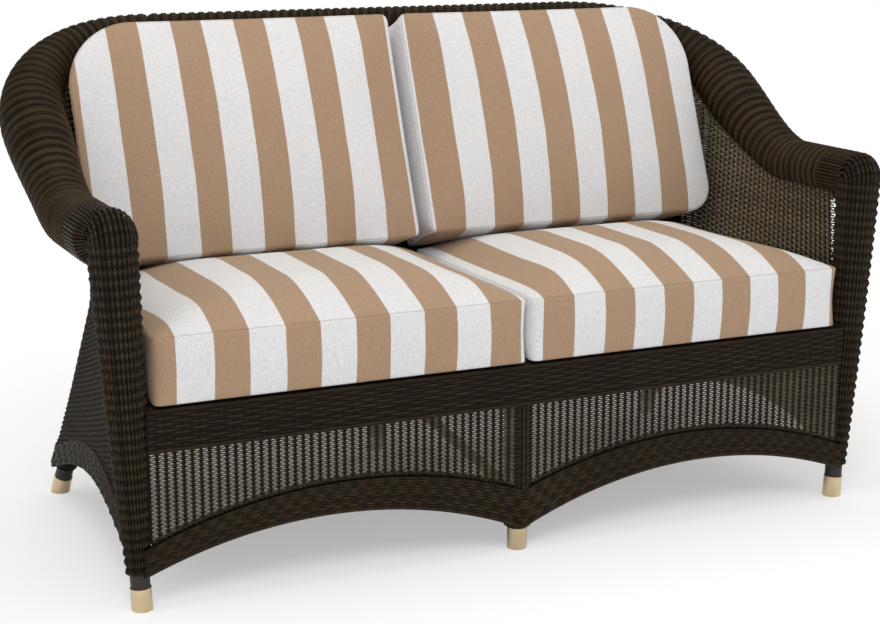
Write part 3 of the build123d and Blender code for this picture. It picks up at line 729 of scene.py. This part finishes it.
# Upper panels: close rows over stakes. The arms' panels are in a lighter strand, a painted light for the light that
# comes through them, with a fine slot left open beside the post. The back panel is woven on both faces.
panel_low = 0.402
stations, distance = waist_stations(0.07, 1.5)
low = np.full(stations.shape, waist_z)
high = under_roll(stations) + 0.006
heights = np.arange(panel_low, 0.80, 0.0047)
path, facing, painted_shade = woven_rows(panel_spot, stations, distance, heights, low, high, 0.0, 0.0017)
wide = np.where(distance < 0.010, 0.0030, 0.0054)[None, :]
stake_at = np.arange(stake_pitch, distance[-1] - 0.002, stake_pitch)
stake_low, stake_high = np.interp(stake_at, distance, low), np.interp(stake_at, distance, high)
share = np.linspace(0, 1, 10)
station = np.repeat(np.interp(stake_at, distance, stations)[:, None], len(share), axis=1)
height = stake_low[:, None] + (stake_high - stake_low)[:, None] * share[None, :]
stake_path = panel_spot(station, height)
stake_facing = skin_facing(panel_spot, station, height)
rows = (path, facing, wide, 0.0024, False, round_section, painted_shade, painted_backlight_panel_resin)
# The stakes are painted darker, as painted shade.
stakes = (stake_path, stake_facing, 0.0040, 0.0030, False, round_section, 0.3)
woven_pairs(("woven_arm_panel_", "arm_panel_", [rows, stakes]))

stations, distance = waist_stations(1.5, 3)
low = np.full(stations.shape, waist_z)
high = under_roll(stations)
heights = np.arange(panel_low, high.max(), row_step)
back_parts = []
for inside in (False, True):
    path, facing, painted_shade = woven_rows(panel_spot, stations, distance, heights, low, high, skin_lift, skin_swing, inside)
    look = (skin_wide, strand_thick, False, low_section, painted_shade, skin_resin)
    back_parts += [lay_strands(turn(path), turn(facing), *look) for _, turn in sides]
joined("woven_back_panel", back_parts, [])


# Front apron: a closed band under the cushions, two open bays of paired stakes and rows, and arched borders of blocky
# weave that pass over the centre leg. A rope of twisted strands runs along the top of each arched border.
apron_y = -0.3283
weave_y = apron_y - 0.0004
bay_width = 0.633
panel_end = 0.6225
rope_lift = 0.0048
out_front = np.array([0.0, -1.0, 0.0])


def bay_arch(x, post_z, apex_z, middle_z, raised=0.0):
    """Height of a bay's arch: a circle through its three heights, raised square to itself."""
    ax, ay, bx, by, cx, cy = 0.0, middle_z, bay_width * 0.57, apex_z, bay_width, post_z
    spread = 2 * (ax * (by - cy) + bx * (cy - ay) + cx * (ay - by))
    ox = ((ax**2 + ay**2) * (by - cy) + (bx**2 + by**2) * (cy - ay) + (cx**2 + cy**2) * (ay - by)) / spread
    oy = ((ax**2 + ay**2) * (cx - bx) + (bx**2 + by**2) * (ax - cx) + (cx**2 + cy**2) * (bx - ax)) / spread
    radius = hypot(ax - ox, ay - oy) + raised
    return oy + np.sqrt(radius**2 - (x - ox) ** 2)


def low_arch(x):
    return bay_arch(x, 0.056, 0.113, 0.040)


def high_arch(x, raised=0.0):
    return bay_arch(x, 0.098, 0.161, 0.104, raised)


# Painted shade of the blocky weave: blocks that pass under are painted darker.
def blocky_painted_shade(wave):
    return 0.22 + 0.78 * (0.5 + 0.5 * wave)


band_low, band_high = 0.2500, 0.3100
band_count = 13
band_x = np.linspace(-panel_end, panel_end, 186)
band_rows = np.linspace(band_low + 0.0015, band_high - 0.0005, band_count)
wave = over_under(band_x, band_count, 2 * stake_pitch)
band_path = spots(band_x[None, :], weave_y - 0.0016 * wave, band_rows[:, None])
# Painted shade on the band: darker at the stakes and where the rows pass under.
stake_painted_shade = (0.25 + 0.75 * between_stakes(band_x, 0.6))[None, :]
band_painted_shade = (0.30 + 0.70 * (0.5 + 0.5 * wave)) * stake_painted_shade
band_strands = lay_strands(band_path, out_front, 0.0044, 0.0027, raised=band_painted_shade)
edge_x = np.linspace(-panel_end, panel_end, 200)
edge_path = spots(edge_x[None, :], apron_y + 0.0004, np.array([[band_low], [band_high]]))
band_edges = lay_strands(edge_path, out_front, 0.0062, 0.0070, section=round_section)
joined("woven_front_band", [band_strands, band_edges], [])

net_y = apron_y + 0.00325
net_x = np.arange(0.010, panel_end, stake_pitch / 4)
net_heights = np.arange(0.100, 0.2475, 0.0034)
row_z = np.maximum(net_heights[:, None], high_arch(net_x, rope_lift)[None, :])
net_path = spots(net_x[None, :], net_y - 0.0009 * over_under(net_x, len(net_heights)), row_z)
# Painted shade on the net: darker at the stakes.
net_painted_shade = np.clip(0.06 + 0.94 * between_stakes(net_x, 0.7) ** 1.4, 0, 1)[None, :]

pair_offset = 0.0014
stake_x = np.repeat(np.arange(stake_pitch, panel_end, stake_pitch), 2)
stake_x = stake_x + pair_offset * (-1) ** np.arange(len(stake_x))
stake_low = high_arch(stake_x, rope_lift)
stake_z = stake_low[:, None] + (0.249 - stake_low)[:, None] * np.linspace(0, 1, 6)[None, :]
stake_path = spots(stake_x[:, None], net_y, stake_z)

border_end = 0.6320
border_count = 12
border_x = np.linspace(0.0, border_end, 95)
border_gap = high_arch(border_x) - low_arch(border_x)
border_z = low_arch(border_x)[None, :] + border_gap[None, :] * np.linspace(0.05, 0.95, border_count)[:, None]
border_wave = over_under(border_x, border_count, group=3)
over_leg = 0.0024 * np.exp(-((border_x[None, :] / 0.020) ** 2))
border_path = spots(border_x[None, :], weave_y - over_leg - 0.0018 * border_wave, border_z)
border_wide = (border_gap * 0.9 / (border_count - 1))[None, :] * 0.98
edge_x = np.linspace(0.0, border_end, 104)
edge_path = spots(edge_x, apron_y + 0.0045, low_arch(edge_x) + 0.002)[None]

rope_turn = 0.024
rope_radius = 0.0024
rope_x = np.arange(0.020, 0.619, 0.0022)
rope_z = high_arch(rope_x, rope_lift)
slope = np.gradient(rope_z, rope_x)
tilt = 1 / np.sqrt(1 + slope**2)
ropes = []
for strand in range(3):
    twist = 2 * pi * (rope_x / rope_turn + strand / 3)
    off_arch = rope_radius * np.cos(twist)
    off_y = rope_radius * np.sin(twist)
    ropes.append(spots(rope_x - off_arch * slope * tilt, apron_y + 0.0050 + off_y, rope_z + off_arch * tilt))

# The net's rows use the strand painted lighter for the light seen through the bays, and the stakes are painted darker
# as painted shade.
net = (net_path, out_front, 0.0030, 0.0022, False, round_section, net_painted_shade, painted_backlight_apron_resin)
stakes = (stake_path, out_front, 0.0029, 0.0026, False, round_section, 0.4)
border_painted_shade = blocky_painted_shade(border_wave)
border = (border_path, out_front, border_wide, wrap_thick, False, flat_section, border_painted_shade)
edge = (edge_path, out_front, 0.0090, 0.0125, False, round_section)
rope = (np.array(ropes), out_front, 0.0044, 0.0044, False, round_section)
woven_pairs(
    ("woven_open_panel_", "front_open_panel_", [net, stakes]),
    ("woven_arch_border_", None, [border, edge]),
    ("roped_arch_cord_", "front_arch_cord_", [rope]),
)


# Lower borders of the sides and back: the same blocky weave along their arches, ten strands high, laid on the
# outer face of the skirts' lower edge.
border_count = 10
for part, start, end in skirts:
    stations, distance = waist_stations(start, end)
    station, share = np.meshgrid(stations, np.linspace(0.05, 0.95, border_count))
    edge_z = arch_low(station)
    facing = skin_facing(body_spot, station, edge_z + 0.02)
    wave = over_under(distance, border_count, group=3)
    path = body_spot(station, edge_z + border_height * share) + facing * (0.0050 + 0.0018 * wave)[..., None]
    rows = (path, facing, 0.0046, wrap_thick, False, flat_section, blocky_painted_shade(wave))
    woven_pairs(("woven_" + part + "_border_", None, [rows]))


# Centre leg wrap: a slim woven column under the middle of the apron.
# Like the front posts it has upright strands over hoops.
wrap_low, wrap_high = 0.040, 0.2475
wrap_loops = 18
angles = ((np.arange(wrap_loops) + 0.5) * 2 * pi / wrap_loops)[:, None]
heights = np.arange(wrap_low, wrap_high, strand_step)
path = column_points(0.0218 + 0.0009 * hoop_wave(heights), heights, angles, front_y)
# Painted shade: darker between the hoops.
painted_shade = 0.30 + 0.70 * (0.5 + 0.5 * hoop_wave(heights))
upright = lay_strands(path, column_points(1, 0 * heights, angles), 0.0054, 0.0024, raised=painted_shade)
around = circle(36)
hoop_z = np.arange(wrap_low + 0.002, wrap_high, hoop_pitch)[:, None]
hoops = column_points(0.0214, hoop_z, around, front_y)
hoops_out = column_points(1, 0 * hoop_z, around)
hoop_strands = lay_strands(hoops, hoops_out, 0.0042, 0.0022, True, raised=hoop_painted_shade)
core = column_points(0.0202, np.linspace(wrap_low, 0.248, 8)[:, None], around, front_y)
joined("woven_center_leg", [upright, hoop_strands, lay_sheet(core, True)], ["center_leg_wrap"])


# Rear post wraps: close hoops of strand round the back uprights, from the leg's bare end up to the roll, round
# the bend at the waist.
rear_foot = np.array([0.613, 0.2955, 0.0])
rear_waist = body_spot(1.5, waist_z)
rear_top = roll_center(1.5) - np.array([0, 0, 0.0275])
rear_bare, rear_stop = 0.062, 0.015
bend_reach = 0.0506
low_way = unit(rear_waist - rear_foot)
high_way = unit(rear_top - rear_waist)
bend = np.linspace(0, 1, 24)[:, None]
before = rear_waist - low_way * bend_reach
after = rear_waist + high_way * bend_reach
knee = before * (1 - bend) ** 2 + rear_waist * 2 * bend * (1 - bend) + after * bend**2
guide = np.concatenate([(rear_foot + low_way * rear_bare)[None], knee, rear_top[None]])
run = np.append(0, np.cumsum(np.linalg.norm(np.diff(guide, axis=0), axis=1)))
even = np.arange(0, run[-1] - rear_stop, 0.00425)
center = np.stack([np.interp(even, run, guide[:, k]) for k in range(3)], -1)
ahead = unit(np.gradient(center, axis=0))
first = unit(np.cross(ahead, sideways))
second = np.cross(ahead, first)
around = circle(26)
facing = np.cos(around)[None, :, None] * first[:, None] + np.sin(around)[None, :, None] * second[:, None]
rise = group_rise(len(even))
path = center[:, None] + facing * (0.0182 + 0.0012 * rise)[:, None, None]
# Painted shade: the outer strands of each group painted darker.
hoops = (path, facing, 0.0044, strand_thick, True, flat_section, group_painted_shade(rise, 0.2))
woven_pairs(("woven_rear_post_", None, [hoops]))


# Tube frame: steel tube with a dark brown powder coat, seen at the leg ends and through the open bays.
# The coat has a fine grain and is a little lighter where it has worn.
coat, tree = new_material("brown powder coat")
where = object_place(tree)
wear = noise(tree, where, 40.0, 4.0)
look = {
    "Base Color": mix_colors(tree, wear, (0.012, 0.009, 0.006, 1), (0.030, 0.023, 0.017, 1)),
    "Roughness": wear * 0.15 + 0.38,
    "Normal": bump(tree, 0.12, 0.0003, noise(tree, where, 900.0, 2.0)),
}
set_surface(tree, look)

# Brass ferrules: spun cups of satin brass, pressed on to the leg ends.
# They have fine turned lines and darker patches.
brass, tree = new_material("satin brass")
where = object_place(tree)
turned_lines = noise(tree, point(tree, 0.0, 0.0, where.part("Z") * 1400.0), 1.0, 2.0)
tarnish = noise(tree, where, 60.0, 4.0)
look = {
    "Base Color": mix_colors(tree, tarnish, (0.74, 0.55, 0.30, 1), (0.93, 0.78, 0.54, 1)),
    "Metallic": 1.0,
    "Roughness": tarnish * 0.20 + 0.12,
    "Normal": bump(tree, 0.15, 0.0002, turned_lines),
}
set_surface(tree, look)

# Seat webbing: dark elastic straps between the seat rails, which carry the seat cushions.
# They have a fine rib each way.
webbing, tree = new_material("elastic webbing")
where = object_place(tree)
rib_wave = (where.part("X") * 2500.0).maths("SINE") * (where.part("Y") * 1800.0).maths("SINE")
look = {
    "Base Color": mix_colors(tree, rib_wave * 0.5 + 0.5, (0.010, 0.009, 0.008, 1), (0.030, 0.027, 0.024, 1)),
    "Roughness": 0.85,
    "Normal": bump(tree, 0.4, 0.0005, rib_wave),
}
set_surface(tree, look)

# The CAD's wicker nodes get the near-black core, painted shade.
finish_of_slot = {"wicker": painted_shade_core, "frame_tube": coat, "foot_brass": brass, "webbing": webbing}
slot_of_node = {entry["node"]: entry["material_slot"] for entry in frame["record"]["subparts"]}
for name, piece in nodes.items():
    finish = finish_of_slot.get(slot_of_node.get(name))
    if finish is not None:
        for every in piece.material_slots:
            every.material = finish
        for polygon in piece.data.polygons:
            polygon.use_smooth = True
        if not piece.material_slots:
            piece.data.materials.append(finish)


# Cushions: boxed, in a fine outdoor cloth with tan and off-white stripes, sewn along the edges of the border.
# Each is a closed grid that is blown up a little as cloth, with its seams held, and then laid flat underneath.
def striped_cloth(name, start, pitch, tan_share):
    """Cloth with upright stripes, a fine weave and slight fading."""
    tan = (0.380, 0.250, 0.158, 1)
    white = (0.700, 0.690, 0.695, 1)
    stripe_edge = 0.012
    thread_waves = 4200.0
    material, tree = new_material(name)
    where = object_place(tree)
    x, y, z = where.part("X"), where.part("Y"), where.part("Z")
    wobble = noise(tree, where, 9.0, 2.0)
    lane = (x + (wobble - 0.5) * 0.004 - start) / pitch
    lane = lane - lane.maths("FLOOR")
    into = ((lane + stripe_edge / 2) / stripe_edge).clamped(0.0, 1.0)
    is_tan = ((tan_share - lane) / stripe_edge + 0.5).clamped(0.0, 1.0) * into
    is_tan = is_tan.maths("MAXIMUM", ((lane - 1.0) / stripe_edge + 0.5).clamped(0.0, 1.0))
    soil = noise(tree, where, 6.0, 3.0)
    pale = mix_colors(tree, soil, white, [c * 0.93 for c in white[:3]] + [1])
    warm = mix_colors(tree, soil, tan, [c * 0.90 for c in tan[:3]] + [1])
    slub = noise(tree, point(tree, x * 620.0, y * 210.0, z * 210.0), 1.0, 3.0)
    cloth_color = mix_colors(tree, 1.0, mix_colors(tree, is_tan, pale, warm), slub * 0.56 + 0.72, "MULTIPLY")
    seam = put_node(tree, "ShaderNodeAttribute", {"attribute_name": "seam"}, {}, "Fac")
    seam_line = ((seam - 0.78) / 0.12).clamped(0.0, 1.0)
    thread = noise(tree, where, 520.0, 2.0)
    weave = (x * thread_waves).maths("SINE") * (z * thread_waves + y * thread_waves).maths("SINE")
    look = {
        "Base Color": mix_colors(tree, seam_line * 0.35, cloth_color, (0.12, 0.09, 0.06, 1)),
        "Roughness": thread * 0.1 + 0.82,
        "Normal": bump(tree, 0.25, 0.0004, weave * 0.5 + thread - seam_line * 3.0),
        "Sheen Weight": 0.15,
        "Specular IOR Level": 0.25,
    }
    set_surface(tree, look)
    return material


def mesh_points(mesh):
    co = np.empty(len(mesh.vertices) * 3, np.float32)
    mesh.vertices.foreach_get("co", co)
    return co.reshape(-1, 3).astype(float)


def set_points(mesh, points):
    mesh.vertices.foreach_set("co", points.astype(np.float32).ravel())
    mesh.update()


def rounded(x, y, center_x, center_y, toward_x, toward_y):
    """Bends a square corner of the grid into a round one."""
    a = (x - center_x) * toward_x
    b = (y - center_y) * toward_y
    inside = (a > 0) & (b > 0)
    big = np.maximum(a, b)
    small_share = np.minimum(a, b) / np.maximum(big, tiny)
    angle = np.where(a >= b, pi / 4 * small_share, pi / 2 - pi / 4 * small_share)
    x = np.where(inside, center_x + toward_x * big * np.cos(angle), x)
    y = np.where(inside, center_y + toward_y * big * np.sin(angle), y)
    return x, y


def face_outwards(layers=0):
    """Draws the active grid up in so many layers, if any, and turns its faces outwards."""
    bpy.ops.object.mode_set(mode="EDIT")
    bpy.ops.mesh.select_all(action="SELECT")
    for layer in range(layers):
        bpy.ops.mesh.extrude_region_move(TRANSFORM_OT_translate={"value": (0, 0, 1.0 / layers)})
    bpy.ops.mesh.select_all(action="SELECT")
    bpy.ops.mesh.normals_make_consistent(inside=False)
    bpy.ops.object.mode_set(mode="OBJECT")


def blown_up(piece, flat, seam, swell_cap):
    """The cushion's points after a short simulation as cloth under pressure, moved up to the cap."""
    frames = 20
    held = piece.vertex_groups.new(name="seams")
    held.add([int(i) for i in np.nonzero(seam)[0]], 0.8, "REPLACE")
    cloth = piece.modifiers.new("filling", "CLOTH")
    settings = cloth.settings
    settings.quality = 6
    settings.mass = 0.25
    settings.tension_stiffness = 18
    settings.compression_stiffness = 12
    settings.bending_stiffness = 0.4
    settings.use_pressure = True
    settings.uniform_pressure_force = 4.0
    settings.vertex_group_mass = "seams"
    settings.pin_stiffness = 0.4
    settings.effector_weights.gravity = 0
    cloth.point_cache.frame_end = frames
    for step in range(1, frames + 1):
        bpy.context.scene.frame_set(step)
    bpy.context.view_layer.objects.active = piece
    bpy.ops.object.modifier_apply(modifier="filling")
    bpy.context.scene.frame_set(1)
    move = mesh_points(piece.data) - flat
    size = np.linalg.norm(move, axis=1, keepdims=True)
    piece.vertex_groups.clear()
    return flat + move * np.minimum(1, swell_cap / np.maximum(size, tiny))


def cushion_piece(kind, side_name, size, corners, place, swell_cap, material, taper=0.0, sag=0.0, shift=0.0):
    """A boxed cushion on its own plane: across, up the face, and out of the face.

    A taper cuts back the underside's outer edge, a sag hangs the face lower, a shift moves the left one outwards.
    """
    width, rear_width, depth, border, crown = size
    body = kind + "_cushion_" + side_name[0]
    node = kind + "_cushion_" + side_name
    cell, layers, shrink = 0.010, 11, 0.003
    nearly_edge, nearly_top = 0.4999, 0.999
    columns, rows = round(width / cell), round(depth / cell)
    bpy.ops.mesh.primitive_grid_add(x_subdivisions=columns, y_subdivisions=rows, size=1.0, location=(0, 0, 0))
    piece = bpy.context.object
    piece.name = kind + "_cushion_soft_" + side_name
    face_outwards(layers)

    mesh = piece.data
    co = mesh_points(mesh)
    u, v, w = co[:, 0] + 0.5, co[:, 1] + 0.5, co[:, 2]
    on_side = np.maximum(np.abs(co[:, 0]), np.abs(co[:, 1])) > nearly_edge
    seam = on_side & ((w < 1 - nearly_top) | (w > nearly_top))
    sewn = mesh.attributes.new("seam", "FLOAT", "POINT")
    sewn.data.foreach_set("value", seam.astype(np.float32))
    x = shrink + u * (width - 2 * shrink)
    y = shrink + v * (depth - 2 * shrink)
    for radius, toward_x, toward_y in corners:
        center_x = width - shrink - radius if toward_x > 0 else shrink + radius
        center_y = depth - shrink - radius if toward_y > 0 else shrink + radius
        x, y = rounded(x, y, center_x, center_y, toward_x, toward_y)
    x = x * (1 + (rear_width / width - 1) * (y / depth))
    w = 0.5 - 0.5 * np.cos(pi * w) * (0.72 + 0.28 * np.abs(np.cos(pi * w)))
    height = w * border
    x = x - (x / width) * np.clip(1 - height / max(taper, 1e-6), 0, 1) ** 2 * taper
    y = y - sag * (height / border) ** 2 * (1 - v)
    dome = (1 - (2 * u - 1) ** 6) * (1 - (2 * v - 1) ** 6)
    z = 0.0010 + w * (border - 0.0018) + np.where(w > nearly_top, 1, w**3) * dome * crown
    pull = 0.002 * np.sin(pi * np.clip(w, 0, 1)) * on_side
    x = x - np.sign(u - 0.5) * pull * (np.abs(u - 0.5) > nearly_edge)
    y = y - np.sign(v - 0.5) * pull * (np.abs(v - 0.5) > nearly_edge)
    flat = np.stack([x, y, z], 1)
    set_points(mesh, flat)
    flat = blown_up(piece, flat, seam, swell_cap)
    flat[:, 2] = np.maximum(flat[:, 2], 0.0006)

    origin, up, away = place
    spot = np.array(origin) + flat[:, :1] * sideways + flat[:, 1:2] * np.array(up) + flat[:, 2:] * np.array(away)
    if side_name == "left":
        spot = flipped(spot) - np.array([shift, 0, 0])
    set_points(piece.data, spot)
    bpy.context.view_layer.objects.active = piece
    piece.select_set(True)
    face_outwards()
    shape = piece.modifiers.new("soft", "SUBSURF")
    shape.levels = 1
    shape.render_levels = 1
    bpy.ops.object.modifier_apply(modifier="soft")
    bpy.ops.object.shade_smooth()
    piece.select_set(False)
    piece.data.materials.append(material)
    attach(piece, body)
    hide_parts(node)


seat_cloth_left = striped_cloth("seat cloth left", -0.062, 0.11375, 0.49)
seat_cloth_right = striped_cloth("seat cloth right", 0.033, 0.1123, 0.50)
seat_corners = ((0.012, -1, -1), (0.012, 1, -1), (0.080, 1, 1), (0.012, -1, 1))
seat_outer, seat_rear_outer = 0.6135, 0.5725
for side_name, cloth, inner in (("right", seat_cloth_right, 0.0110), ("left", seat_cloth_left, -0.0095)):
    seat_size = (seat_outer - inner, seat_rear_outer - inner, 0.468, 0.105, 0.033)
    seat_place = ((inner, -0.3305, 0.3156), (0, 1, 0), (0, 0, 1))
    cushion_piece("seat", side_name, seat_size, seat_corners, seat_place, 0.012, cloth)

back_cloth_left = striped_cloth("back cloth left", -0.082, 0.1120, 0.485)
back_cloth_right = striped_cloth("back cloth right", 0.012, 0.1155, 0.50)
back_corners = ((0.010, -1, -1), (0.050, 1, -1), (0.118, 1, 1), (0.010, -1, 1))
back_size = (0.590, 0.590, 0.407, 0.122, 0.012)
back_place = ((0.0010, 0.1439, 0.4196), (0.0, 0.3560, 0.9345), (0.0, -0.9345, 0.3560))
for side_name, cloth, taper, sag, shift in (
    ("right", back_cloth_right, 0.105, -0.002, 0.0),
    ("left", back_cloth_left, 0.122, 0.003, 0.015),
):
    cushion_piece("back", side_name, back_size, back_corners, back_place, 0.016, cloth, taper, sag, shift)
